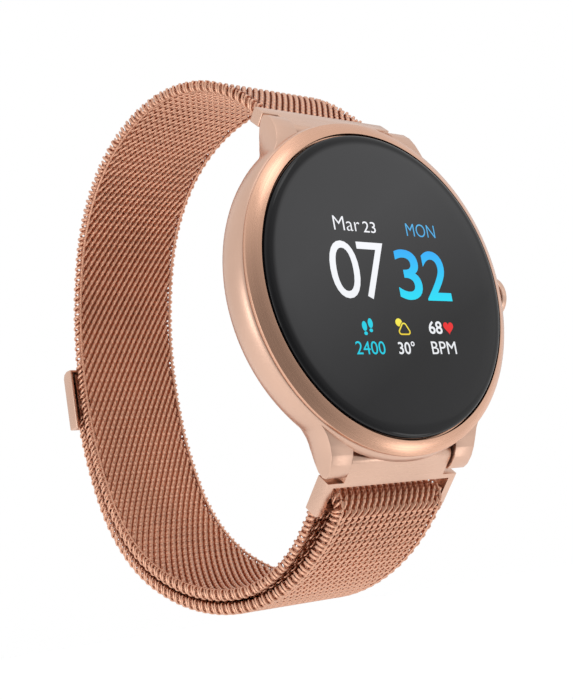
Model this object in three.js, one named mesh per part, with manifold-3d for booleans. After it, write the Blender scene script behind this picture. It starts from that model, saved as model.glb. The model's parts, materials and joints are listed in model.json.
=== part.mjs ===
// Round smartwatch on a woven-mesh slider band, closed as a loop. Millimetres.
// Origin: centre of the flat sensor window on the case back. The display faces -Y, the wrist is on +Y,
// 12 o'clock is +Z and the push button is on +X.
import * as THREE from 'three';
import { mergeVertices } from 'three/addons/utils/BufferGeometryUtils.js';
import Module from 'manifold-3d';

const wasm = await Module();
wasm.setup();

// ---------------------------------------------------------------- driving dimensions
const GAP = 0.3;                       // clearance that touching pieces keep

const CASE = {
  bezelRadius: 22.5, bezelTop: -11.0, bezelFoot: -9.85, bezelSeat: -10.25, glassRadius: 20.4,
  bulgeRadius: 22.96, cavityRadius: 18.8, ledge: -9.0, backLip: -3.2, backOpening: 17.4,
  coverSeat: 18.2, backEdge: -1.6, facets: 72,
};
const LUG = { inner: 9.2, outerTip: 12.4, outerRoot: 13.9, holeRadius: 0.6, holeDepth: 2.0 };
const BAR_AXIS = { y: -6.41, z: 21.71 };   // spring-bar axis, at +z and at -z
const TONGUE = { halfWidth: 8.85, barrel: 1.4, bore: 1.0, thickness: 2.1 };
const ENDS = {
  halfWidth: 11.5, tilt: 45,
  topEar: [3.04, 5.15],                // start and end of the wide ears, measured from the spring-bar axis
  slotStart: 3.36, armStart: 2.69, armEnd: 7.63, armInner: 10.35, foldBar: 6.83, foldBarRadius: 0.8,
};
const SPRING_BAR = {
  tubeRadius: 0.75, tubeBore: 0.55, tubeHalf: 8.6, pinRadius: 0.35, pinTip: 10.8, pinRoot: 6.0,
};
const MESH = {
  halfWidth: 9.45, thickness: 1.6, layerPitch: 1.9,
  bendGap: 0.4,                        // open length where the closed loop is taken to bend
  peelGap: 0.9,                        // and where the tail uncurls
  tailStart: 0.8,                      // the tail leaves the fold this far past its end
};
const LOOP = {                         // the loop's centre line as runs and arcs, from the top end bar
  firstRun: 4.8, shoulder: [31, 45], crown: [32, 20], corner: [26.5, 45], back: [51, 25],
  heel: [51, 20], lowerCorner: [25.5, 40], sole: [39, 30], rise: [23.8, 45],
};
const CLASP = {
  halfWidth: 10.2, low: -4.7, high: 5.0, wall: 0.55, depth: 2.4,
  meshReach: 1.5,                      // how far the mesh runs up inside
  linerThickness: 0.4, magnetHalfWidth: 8.4, bevel: 1.1, bevelWaist: 0.35,
};
const BUTTON = { radius: 3.2, faceX: 25.0, rimX: 23.7, y: -6.1, stemRadius: 0.9, stemEnd: 16.6, gland: 1.8 };

// ---------------------------------------------------------------- finishes
const finish = (color, roughness, metalness) =>
  new THREE.MeshStandardMaterial({ color, roughness, metalness });
const ROSE_GOLD = finish(0xd9a184, 0.32, 1.0);
const MESH_WIRE = finish(0xc98c6c, 0.3, 1.0);
const GLASS = finish(0x2c2c2e, 0.06, 0.0);
const STEEL = finish(0xb9bbbd, 0.3, 1.0);
const SPRING_STEEL = finish(0x8f9296, 0.35, 1.0);
const BLACK_PLASTIC = finish(0x1d1e20, 0.5, 0.0);
const RUBBER = finish(0x18181a, 0.85, 0.0);
const BOARD = finish(0x174a35, 0.5, 0.1);
const FOIL = finish(0xa9abad, 0.4, 0.9);
const GOLD = finish(0xd8b25a, 0.25, 1.0);
const AMBER_FILM = finish(0xb5702a, 0.45, 0.1);
const MAGNET = finish(0x6d6f73, 0.35, 0.9);

// ---------------------------------------------------------------- solids
function toManifold(geometry) {
  const plain = geometry.index ? geometry.toNonIndexed() : geometry.clone();
  plain.deleteAttribute('normal');
  plain.deleteAttribute('uv');
  const merged = mergeVertices(plain, 1e-4);
  const vertProperties = Float32Array.from(merged.attributes.position.array);
  const triVerts = Uint32Array.from(merged.index.array);
  return new wasm.Manifold(new wasm.Mesh({ numProp: 3, vertProperties, triVerts }));
}

function toGeometry(manifold) {
  const mesh = manifold.getMesh();
  const geometry = new THREE.BufferGeometry();
  geometry.setAttribute('position', new THREE.BufferAttribute(Float32Array.from(mesh.vertProperties), 3));
  geometry.setIndex(Array.from(mesh.triVerts));
  return geometry;
}

const watch = new THREE.Group();

function addPart(name, shape, material) {
  const geometry = shape.isBufferGeometry ? shape : toGeometry(shape);
  const mesh = new THREE.Mesh(geometry, material);
  mesh.name = name;
  watch.add(mesh);
  return mesh;
}

// A solid of revolution about Y from [radius, y] points that close on themselves or on the axis.
function turned(profile, segments = 64) {
  const points = profile.map(([r, y]) => new THREE.Vector2(r, y));
  const onAxis = profile[0][0] === 0 && profile.at(-1)[0] === 0;
  if (!onAxis) points.push(points[0].clone());
  const geometry = new THREE.LatheGeometry(points, segments);
  const solid = toManifold(geometry);
  return solid.volume() > 0 ? solid : toManifold(flipped(geometry));
}

function flipped(geometry) {
  const plain = geometry.index ? geometry.toNonIndexed() : geometry.clone();
  const position = plain.attributes.position;
  for (let corner = 0; corner < position.count; corner += 3) {
    const first = new THREE.Vector3().fromBufferAttribute(position, corner);
    const second = new THREE.Vector3().fromBufferAttribute(position, corner + 1);
    position.setXYZ(corner, second.x, second.y, second.z);
    position.setXYZ(corner + 1, first.x, first.y, first.z);
  }
  return plain;
}

const ring = (inner, outer, low, high, segments = 64) =>
  turned([[inner, low], [outer, low], [outer, high], [inner, high]], segments);

const disc = (radius, low, high, segments = 48) =>
  turned([[0, low], [radius, low], [radius, high], [0, high]], segments);

function box(x0, x1, y0, y1, z0, z1) {
  const geometry = new THREE.BoxGeometry(x1 - x0, y1 - y0, z1 - z0);
  geometry.translate((x0 + x1) / 2, (y0 + y1) / 2, (z0 + z1) / 2);
  return toManifold(geometry);
}

// A cylinder along X between x0 and x1, centred on (y, z).
function rodX(radius, x0, x1, y, z, segments = 16) {
  const geometry = new THREE.CylinderGeometry(radius, radius, x1 - x0, segments);
  geometry.rotateZ(Math.PI / 2);
  geometry.translate((x0 + x1) / 2, y, z);
  return toManifold(geometry);
}

// A cylinder along Y.
function rodY(radius, y0, y1, x, z, segments = 20) {
  const geometry = new THREE.CylinderGeometry(radius, radius, y1 - y0, segments);
  geometry.translate(x, (y0 + y1) / 2, z);
  return toManifold(geometry);
}

// Extrudes an outline of [y, z] points along X from x0 to x1.
function sideProfile(points, x0, x1) {
  const shape = new THREE.Shape(points.map(([y, z]) => new THREE.Vector2(y, z)));
  const geometry = new THREE.ExtrudeGeometry(shape, { depth: x1 - x0, bevelEnabled: false });
  const toYZX = new THREE.Matrix4().makeBasis(
    new THREE.Vector3(0, 1, 0), new THREE.Vector3(0, 0, 1), new THREE.Vector3(1, 0, 0));
  geometry.applyMatrix4(toYZX);
  geometry.translate(x0, 0, 0);
  return toManifold(geometry);
}

// Extrudes an outline of [x, z] points along Y from y0 to y1.
function planProfile(points, y0, y1) {
  const shape = new THREE.Shape(points.map(([x, z]) => new THREE.Vector2(x, z)));
  const geometry = new THREE.ExtrudeGeometry(shape, { depth: y1 - y0, bevelEnabled: false });
  const toXZ = new THREE.Matrix4().makeBasis(
    new THREE.Vector3(1, 0, 0), new THREE.Vector3(0, 0, 1), new THREE.Vector3(0, -1, 0));
  geometry.applyMatrix4(toXZ);
  geometry.translate(0, y1, 0);
  return toManifold(geometry);
}

// A helical spring along X, centred on (y, z), as one closed bent wire.
function coilX(radius, wire, turns, x0, x1, y, z, stepsPerTurn = 10, sides = 5) {
  class Helix extends THREE.Curve {
    getPoint(t, target = new THREE.Vector3()) {
      const angle = 2 * Math.PI * turns * t;
      return target.set(x0 + (x1 - x0) * t, y + radius * Math.cos(angle), z + radius * Math.sin(angle));
    }
  }
  const section = new THREE.Shape();
  for (let side = 0; side < sides; side += 1) {
    const angle = 2 * Math.PI * side / sides;
    const point = new THREE.Vector2(wire * Math.cos(angle), wire * Math.sin(angle));
    if (side === 0) section.moveTo(point.x, point.y); else section.lineTo(point.x, point.y);
  }
  const geometry = new THREE.ExtrudeGeometry(section, {
    steps: Math.round(turns * stepsPerTurn), extrudePath: new Helix(), bevelEnabled: false });
  const solid = toManifold(geometry);
  return solid.volume() > 0 ? solid : toManifold(flipped(geometry));
}

// ---------------------------------------------------------------- case
const mirrorZ = (solid) => solid.mirror([0, 0, 1]);
const mirrorX = (solid) => solid.mirror([1, 0, 0]);
const all = (solids) => solids.reduce((sum, next) => sum.add(next));

function lug() {
  const side = sideProfile([
    [-9.2, -15.5], [-9.1, -18.6], [-8.85, -20.2], [-8.45, -21.8], [-7.75, -22.9], [-6.9, -23.7], [-6.2, -24.05],
    [-5.5, -23.75], [-4.9, -23.0], [-4.5, -21.6], [-4.15, -19.8], [-3.3, -17.6], [-2.9, -15.5],
  ].reverse(), LUG.inner, LUG.outerRoot + 1);
  const plan = planProfile([
    [LUG.inner, -15.5], [LUG.outerRoot + 1, -15.5], [14.4, -17.0], [LUG.outerRoot - 0.1, -18.3],
    [13.35, -19.8], [12.85, -21.5], [12.5, -23.0], [LUG.outerTip, -24.2], [LUG.inner, -24.2],
  ], -10, 0);
  return side.intersect(plan);
}

function caseBody() {
  const shell = turned([
    [CASE.cavityRadius, CASE.ledge], [21.7, CASE.ledge], [21.7, CASE.bezelFoot + GAP],
    [CASE.bezelRadius, CASE.bezelFoot + GAP], [22.83, -8.8], [CASE.bulgeRadius, -7.5], [22.78, -6.2],
    [22.18, -4.9], [21.18, -3.7], [20.0, -2.75], [19.4, -2.35], [CASE.coverSeat + 0.35, CASE.backEdge],
    [CASE.coverSeat, CASE.backEdge], [CASE.coverSeat, -2.2], [CASE.backOpening, -2.2],
    [CASE.backOpening, CASE.backLip], [CASE.cavityRadius, CASE.backLip],
  ], CASE.facets);
  const bottomLug = lug();
  const lugs = all([bottomLug, mirrorX(bottomLug), mirrorZ(bottomLug), mirrorX(mirrorZ(bottomLug))]);
  const cavity = disc(CASE.cavityRadius, CASE.ledge - 2, CASE.backLip, CASE.facets);
  const bosses = all(screwPlaces().map(([x, z]) => rodY(1.5, -5.2, -2.2, x, z, 14)));
  const screwHoles = all(screwPlaces().map(([x, z]) => rodY(0.9, -4.8, -1.0, x, z, 12)));
  const strapPocket = box(-LUG.inner, LUG.inner, -8.3, 2, -26, -19.9);
  const barHoles = all([-1, 1].flatMap((sx) => [-1, 1].map((sz) => rodX(LUG.holeRadius,
    sx > 0 ? LUG.inner - 1 : -LUG.inner - LUG.holeDepth, sx > 0 ? LUG.inner + LUG.holeDepth : -LUG.inner + 1,
    BAR_AXIS.y, sz * BAR_AXIS.z))));
  const buttonHole = all([
    rodX(BUTTON.stemRadius + GAP, 17, 24, BUTTON.y, 0), rodX(BUTTON.gland, 19.1, 20.3, BUTTON.y, 0),
    rodX(2.2, 21.0, 24, BUTTON.y, 0, 28)]);
  return shell.add(lugs.subtract(cavity)).add(bosses).subtract(screwHoles).subtract(strapPocket)
    .subtract(mirrorZ(strapPocket)).subtract(barHoles).subtract(buttonHole);
}

function screwPlaces() {
  return [30, 150, 210, 330].map((degrees) => {
    const angle = THREE.MathUtils.degToRad(degrees);
    return [16.4 * Math.cos(angle), 16.4 * Math.sin(angle)];
  });
}

addPart('case_body', caseBody(), ROSE_GOLD);

addPart('bezel_ring', turned([
  [CASE.glassRadius + GAP, CASE.bezelTop], [CASE.bezelRadius, -10.02], [CASE.bezelRadius, CASE.bezelFoot],
  [21.4, CASE.bezelFoot], [21.4, CASE.ledge - GAP], [19.4, CASE.ledge - GAP], [19.4, CASE.bezelSeat],
  [CASE.glassRadius + GAP, CASE.bezelSeat],
], CASE.facets), ROSE_GOLD);

// ---------------------------------------------------------------- display stack
addPart('cover_glass', turned([
  [0, -10.55], [CASE.glassRadius, -10.55], [CASE.glassRadius, -11.0], [20.15, -11.28], [19.0, -11.42],
  [14.0, -11.52], [0, -11.55],
].reverse(), CASE.facets), GLASS);
addPart('glass_adhesive', ring(19.6, 20.2, -10.44, -10.36, 40), BLACK_PLASTIC);
addPart('display_panel', disc(17.8, -10.3, -9.0, 40), BLACK_PLASTIC);
addPart('display_flex', box(-3.5, 3.5, -8.85, -8.7, -17.2, -6.0), AMBER_FILM);
addPart('display_bracket', disc(18.3, -8.4, -7.9, 40).subtract(box(-4, 4, -9, -7, -19, -14)), BLACK_PLASTIC);

// ---------------------------------------------------------------- electronics
const boardCut = box(11.8, 20, -8, -6, -4.5, 4.5).add(box(-4.2, 4.2, -8, -6, -19, -15));
addPart('main_board', disc(17.2, -7.5, -6.8, 40).subtract(boardCut), BOARD);
addPart('shield_can', box(-9.5, 2.5, -6.5, -5.5, 6.4, 13.4), FOIL);
addPart('battery', box(-11.6, 7.4, -6.5, -2.95, -9.4, 6.0), FOIL);
addPart('vibration_motor', rodY(3.4, -6.5, -3.9, 6.7, 11.8, 32), STEEL);
addPart('tactile_switch', box(12.4, 15.2, -6.9, -4.9, -1.6, 1.6), BLACK_PLASTIC);
addPart('sensor_board', disc(6.4, -2.6, -2.1, 28), BOARD);
addPart('sensor_led_left', box(-3.3, -1.6, -1.8, -1.35, -0.8, 0.8), GLASS);
addPart('sensor_led_right', box(1.6, 3.3, -1.8, -1.35, -0.8, 0.8), GLASS);

// ---------------------------------------------------------------- rear
const pinPlaces = [-5.2, 5.2];
const coverHoles = all([
  ...screwPlaces().map(([x, z]) => rodY(0.95, -3, 0, x, z, 12)),
  ...pinPlaces.map((x) => rodY(1.2, -3, 1, x, -11.0, 16)),
  ...screwPlaces().map(([x, z]) => rodY(1.5, -1.35, 0, x, z, 16))]);
addPart('rear_cover', turned([
  [7.6, -1.75], [17.9, -1.75], [17.9, -1.0], [17.4, -0.75], [11.5, -0.6], [9.0, -0.35], [7.6, -0.3],
], 52).subtract(coverHoles), ROSE_GOLD);
addPart('sensor_window', turned([[0, -1.05], [7.3, -1.05], [7.3, -0.2], [7.0, 0], [0, 0]], 40), GLASS);
addPart('rear_cover_seal', ring(17.55, 17.95, -2.1, -1.9, 40), RUBBER);
pinPlaces.forEach((x, index) => {
  const pin = rodY(0.9, -2.9, -0.55, x, -11.0, 16);
  addPart(['charge_pin_right', 'charge_pin_left'][index], pin, GOLD);
});
screwPlaces().forEach(([x, z], index) => {
  const screw = rodY(0.55, -4.4, -1.2, x, z, 10).add(rodY(1.2, -1.3, -0.78, x, z, 16))
    .subtract(box(x - 0.75, x + 0.75, -1.0, 0, z - 0.12, z + 0.12))
    .subtract(box(x - 0.12, x + 0.12, -1.0, 0, z - 0.75, z + 0.75));
  addPart(`rear_screw_${index + 1}`, screw, STEEL);
});

// ---------------------------------------------------------------- push button
function turnedX(profile, segments, y, z) {
  return turned(profile, segments).rotate([0, 0, -90]).translate([0, y, z]);
}
addPart('button_cap', turnedX([
  [0, BUTTON.stemEnd], [BUTTON.stemRadius, BUTTON.stemEnd], [BUTTON.stemRadius, 18.1], [0.6, 18.1], [0.6, 18.5],
  [BUTTON.stemRadius, 18.5], [BUTTON.stemRadius, 19.2], [0.6, 19.2], [0.6, 20.2], [BUTTON.stemRadius, 20.2],
  [BUTTON.stemRadius, BUTTON.rimX], [BUTTON.radius - 0.25, BUTTON.rimX], [BUTTON.radius, BUTTON.rimX + 0.25],
  [BUTTON.radius, BUTTON.faceX - 0.6], [BUTTON.radius - 0.5, BUTTON.faceX - 0.2], [1.6, BUTTON.faceX - 0.04],
  [0, BUTTON.faceX],
], 24, BUTTON.y, 0), ROSE_GOLD);
addPart('button_clip', turnedX([[0.72, 18.2], [1.55, 18.2], [1.55, 18.42], [0.72, 18.42]], 24, BUTTON.y, 0)
  .subtract(box(18, 19, BUTTON.y, BUTTON.y + 3, -0.55, 0.55)), SPRING_STEEL);
addPart('button_seal', toManifold(new THREE.TorusGeometry(1.2, 0.3, 6, 18).rotateY(Math.PI / 2))
  .translate([19.7, BUTTON.y, 0]), RUBBER);
addPart('button_spring', coilX(1.55, 0.14, 3, 21.25, 23.4, BUTTON.y, 0, 12, 4), SPRING_STEEL);
addPart('switch_plunger', rodX(0.7, 15.65, 16.45, BUTTON.y, 0), BLACK_PLASTIC);

// ---------------------------------------------------------------- spring bars
const SIDES = [{ word: 'top', z: BAR_AXIS.z }, { word: 'bottom', z: -BAR_AXIS.z }];
for (const { word, z } of SIDES) {
  const tube = rodX(SPRING_BAR.tubeRadius, -SPRING_BAR.tubeHalf, SPRING_BAR.tubeHalf, BAR_AXIS.y, z)
    .subtract(rodX(SPRING_BAR.tubeBore, -9, 9, BAR_AXIS.y, z));
  addPart(`spring_bar_tube_${word}`, tube, STEEL);
  const pin = rodX(SPRING_BAR.pinRadius, SPRING_BAR.pinRoot, SPRING_BAR.pinTip, BAR_AXIS.y, z);
  addPart(`spring_bar_pin_${word}_right`, pin, STEEL);
  addPart(`spring_bar_pin_${word}_left`, mirrorX(pin), STEEL);
  const reach = SPRING_BAR.pinRoot - 0.35;
  addPart(`spring_bar_coil_${word}`, coilX(0.3, 0.08, 12, -reach, reach, BAR_AXIS.y, z, 6, 3), SPRING_STEEL);
}

// ---------------------------------------------------------------- band end pieces
// Built flat: u runs from the spring bar towards the band, n is the outward normal, both from the bar's axis.
const front = TONGUE.barrel;
const rear = front - TONGUE.thickness;

function endPlate(x0, x1, u0, u1) {
  return box(x0, x1, -front, -rear, -u1, -u0);
}

function tongue(u1) {
  const plate = endPlate(-TONGUE.halfWidth, TONGUE.halfWidth, 0, u1);
  const barrel = rodX(TONGUE.barrel, -TONGUE.halfWidth, TONGUE.halfWidth, 0, 0, 28);
  return plate.add(barrel).subtract(rodX(TONGUE.bore, -12, 12, 0, 0));
}

// Tilts a flat-built piece to hang below the bottom spring bar.
const hang = (solid) => solid.rotate([ENDS.tilt, 0, 0]).translate([0, BAR_AXIS.y, -BAR_AXIS.z]);

const [earStart, earEnd] = ENDS.topEar;
const topBar = tongue(earEnd).add(endPlate(-ENDS.halfWidth, ENDS.halfWidth, earStart, earEnd));
addPart('top_end_bar', mirrorZ(hang(topBar)), ROSE_GOLD);

const middleNormal = (front + rear) / 2;
const arm = endPlate(ENDS.armInner, ENDS.halfWidth, ENDS.armStart, ENDS.armEnd);
const frame = tongue(ENDS.slotStart)
  .add(endPlate(-ENDS.halfWidth, ENDS.halfWidth, ENDS.armStart, ENDS.slotStart)).add(arm).add(mirrorX(arm))
  .add(rodX(ENDS.foldBarRadius, -ENDS.armInner - 0.5, ENDS.armInner + 0.5, -middleNormal, -ENDS.foldBar, 24));
addPart('slider_frame', hang(frame), ROSE_GOLD);

// ---------------------------------------------------------------- mesh band
// A route in the YZ plane: straight runs and arcs, each [radius, turn in degrees] or a plain length.
class Route {
  constructor(y, z, heading) {
    this.stations = [{ y, z, heading, s: 0 }];
  }

  get end() {
    return this.stations.at(-1);
  }

  run(length, step = length) {
    const count = Math.max(1, Math.round(length / step));
    for (let index = 0; index < count; index += 1) this.advance(length / count, 0);
    return this;
  }

  arc(radius, turn, degreesPerStep = 5) {
    const count = Math.max(1, Math.round(Math.abs(turn) / degreesPerStep));
    const step = THREE.MathUtils.degToRad(turn / count);
    for (let index = 0; index < count; index += 1) this.advance(radius * Math.abs(step), step);
    return this;
  }

  advance(length, turn) {
    const { y, z, heading, s } = this.end;
    const chord = turn === 0 ? length : 2 * length / Math.abs(turn) * Math.sin(Math.abs(turn) / 2);
    const along = heading + turn / 2;
    this.stations.push({
      y: y + chord * Math.cos(along), z: z + chord * Math.sin(along), heading: heading + turn, s: s + length });
  }

  at(s) {
    const index = Math.max(1, this.stations.findIndex((station) => station.s >= s));
    const [before, after] = [this.stations[index - 1], this.stations[index]];
    const share = (s - before.s) / (after.s - before.s);
    const mix = (key) => before[key] + share * (after[key] - before[key]);
    return { y: mix('y'), z: mix('z'), heading: mix('heading'), s };
  }

  // The band's solid between two places on the route.
  strip(from, to, halfWidth = MESH.halfWidth, thickness = MESH.thickness) {
    const inside = this.stations.filter(({ s }) => s > from + 0.3 && s < to - 0.3);
    const line = [this.at(from), ...inside, this.at(to)];
    const side = (sign) => line.map(({ y, z, heading }) => [
      y - sign * thickness / 2 * Math.sin(heading), z + sign * thickness / 2 * Math.cos(heading)]);
    return sideProfile([...side(-1), ...side(1).reverse()], -halfWidth, halfWidth);
  }
}

const rad = THREE.MathUtils.degToRad;
const tilt = rad(ENDS.tilt);
// A place on the bottom end piece: u from the spring bar, n outward.
const onFrame = (u, n) => ({
  y: BAR_AXIS.y + u * Math.sin(tilt) - n * Math.cos(tilt),
  z: -BAR_AXIS.z - u * Math.cos(tilt) - n * Math.sin(tilt) });
const foldRadius = MESH.layerPitch;
const behindBar = onFrame(ENDS.foldBar, middleNormal - foldRadius);
const start = onFrame(earEnd + GAP, middleNormal);

function loopRoute(backRun) {
  const route = new Route(start.y, -start.z, tilt).run(LOOP.firstRun);
  for (const [radius, turn] of [LOOP.shoulder, LOOP.crown, LOOP.corner, LOOP.back]) route.arc(radius, -turn);
  if (backRun > 0) route.run(backRun, 6);
  for (const [radius, turn] of [LOOP.heel, LOOP.lowerCorner, LOOP.sole, LOOP.rise]) route.arc(radius, -turn);
  return route;
}

// The straight run down the back has the length that brings the band in just behind the fold bar.
const untrimmed = loopRoute(0).end;
const backRun = (untrimmed.y + untrimmed.z) - (behindBar.y + behindBar.z);
const loop = loopRoute(backRun);
const slotRun = Math.hypot(loop.end.y - behindBar.y, loop.end.z - behindBar.z);
loop.run(slotRun);
const foldStart = loop.end.s;
loop.arc(foldRadius, 180, 18);
const foldEnd = loop.end;

// The tail leaves the fold bar and settles one layer outside the loop.
const sole = loop.stations.find(({ heading }) => Math.abs(heading + Math.PI) < 1e-6);
const settleRadius = (foldEnd.z - (sole.z - MESH.layerPitch)) / (1 - Math.cos(tilt));
const tail = new Route(foldEnd.y, foldEnd.z, -tilt).arc(settleRadius, ENDS.tilt);
const tailFirstCut = tail.end.s;
tail.run(sole.y - tail.end.y);
const tailSoleStart = tail.end.s;
for (const [radius, turn] of [LOOP.sole, LOOP.lowerCorner]) tail.arc(radius + MESH.layerPitch, turn);
const heelStart = tail.end;
const heelRadius = LOOP.heel[0] + MESH.layerPitch;
const heelRise = CLASP.low + CLASP.meshReach - heelStart.z;
const lastHeading = Math.acos(Math.cos(heelStart.heading) - heelRise / heelRadius);
tail.arc(heelRadius, THREE.MathUtils.radToDeg(lastHeading - heelStart.heading));

const turnLength = ([radius, turn]) => radius * rad(turn);
const upperCut = [LOOP.shoulder, LOOP.crown, LOOP.corner]
  .reduce((sum, arc) => sum + turnLength(arc), LOOP.firstRun);
const lowerCut = foldStart - slotRun - turnLength(LOOP.rise) - turnLength(LOOP.sole);
// The tail's last bend lies beside the loop's lower one, so that the tail end sways with the back.
const tailSecondCut = tailSoleStart + turnLength([LOOP.sole[0] + MESH.layerPitch, LOOP.sole[1]]);
const bend = MESH.bendGap / 2;
const peel = MESH.peelGap / 2;

addPart('mesh_upper', loop.strip(0, upperCut - bend), MESH_WIRE);
addPart('mesh_back', loop.strip(upperCut + bend, lowerCut - bend), MESH_WIRE);
addPart('mesh_lower', loop.strip(lowerCut + bend, foldEnd.s), MESH_WIRE);
addPart('mesh_tail_root', tail.strip(MESH.tailStart, tailFirstCut - peel), MESH_WIRE);
addPart('mesh_tail_middle', tail.strip(tailFirstCut + peel, tailSecondCut - bend), MESH_WIRE);
addPart('mesh_tail_end', tail.strip(tailSecondCut + bend, tail.end.s), MESH_WIRE);

// ---------------------------------------------------------------- magnetic clasp
const backOfLoop = Math.max(...loop.stations.map(({ y }) => y));
const claspInner = backOfLoop + MESH.layerPitch - MESH.thickness / 2;
const claspOuter = claspInner + CLASP.depth;
const shellInside = box(-CLASP.halfWidth + CLASP.wall, CLASP.halfWidth - CLASP.wall, claspInner - 1,
  claspOuter - CLASP.wall, CLASP.low - 1, CLASP.high - CLASP.wall);
const shellOutline = [
  [claspInner, CLASP.low], [claspOuter, CLASP.low], [claspOuter, CLASP.high - CLASP.bevel],
  [claspOuter - CLASP.bevelWaist, CLASP.high - CLASP.bevelWaist], [claspOuter - CLASP.bevel, CLASP.high],
  [claspInner, CLASP.high],
];
const shellOuter = sideProfile(shellOutline, -CLASP.halfWidth, CLASP.halfWidth);
addPart('clasp_shell', shellOuter.subtract(shellInside), ROSE_GOLD);
const claspCeiling = CLASP.high - CLASP.wall - GAP;
const linerHalf = CLASP.halfWidth - CLASP.wall - GAP;
const linerFloor = tail.end.z + GAP;
const magnetInner = claspInner + CLASP.linerThickness + GAP;
addPart('clasp_liner', box(-linerHalf, linerHalf, claspInner, claspInner + CLASP.linerThickness, linerFloor,
  claspCeiling), ROSE_GOLD);
addPart('clasp_magnet', box(-CLASP.magnetHalfWidth, CLASP.magnetHalfWidth, magnetInner,
  claspOuter - CLASP.wall - GAP, linerFloor + 0.4, claspCeiling - 0.4), MAGNET);

export default watch;
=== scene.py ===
"""Round smartwatch on a woven-mesh slider band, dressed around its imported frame.

Sizes in the classes are millimetres and are turned into metres when a piece is placed, except in the studio,
which is in metres. The display faces -Y, the wrist is on +Y, 12 o'clock is +Z and the push button is on +X.
"""

import json
import logging
import math
from collections.abc import Callable, Iterable, Sequence
from dataclasses import dataclass, field
from enum import Enum

import bmesh
import bpy
from mathutils import Matrix, Vector

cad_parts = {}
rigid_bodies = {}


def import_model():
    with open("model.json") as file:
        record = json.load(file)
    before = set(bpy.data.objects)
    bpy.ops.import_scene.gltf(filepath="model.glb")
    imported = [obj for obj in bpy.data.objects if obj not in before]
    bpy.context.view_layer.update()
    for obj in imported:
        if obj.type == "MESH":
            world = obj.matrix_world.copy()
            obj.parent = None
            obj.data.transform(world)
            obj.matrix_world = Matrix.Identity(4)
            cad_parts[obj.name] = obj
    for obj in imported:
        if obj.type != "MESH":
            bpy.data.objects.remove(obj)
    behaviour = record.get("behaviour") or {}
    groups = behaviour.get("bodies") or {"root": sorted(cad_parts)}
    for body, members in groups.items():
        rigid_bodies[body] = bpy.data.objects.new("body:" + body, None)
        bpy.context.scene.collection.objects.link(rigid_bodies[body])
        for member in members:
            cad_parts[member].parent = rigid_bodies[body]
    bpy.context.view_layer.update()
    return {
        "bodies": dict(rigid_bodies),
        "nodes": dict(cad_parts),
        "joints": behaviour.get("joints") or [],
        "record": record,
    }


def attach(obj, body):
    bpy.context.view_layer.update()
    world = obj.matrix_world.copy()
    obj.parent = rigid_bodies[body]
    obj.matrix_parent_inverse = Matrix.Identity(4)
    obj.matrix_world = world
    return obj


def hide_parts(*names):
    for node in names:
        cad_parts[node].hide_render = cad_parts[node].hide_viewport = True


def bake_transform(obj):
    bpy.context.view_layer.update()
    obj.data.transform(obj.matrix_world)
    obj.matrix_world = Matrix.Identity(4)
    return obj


LOG = logging.getLogger("smartwatch")
MM = 0.001
WHITE = (1.0, 1.0, 1.0, 1.0)
BUTTON_AXIS_Y = -6.1
Point = tuple[float, float]
Place = tuple[float, float, float]
Colour = tuple[float, float, float]


# ---------------------------------------------------------------- finishes
class Grain(Enum):
    """How a metal surface has been worked, as repeats per millimetre along X, Y and Z."""

    ALONG_X = (0.15, 6.0, 6.0)
    ALONG_Z = (6.0, 6.0, 0.15)
    AROUND = (9.0, 9.0, 9.0)
    BLASTED = (5.0, 5.0, 5.0)


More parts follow.
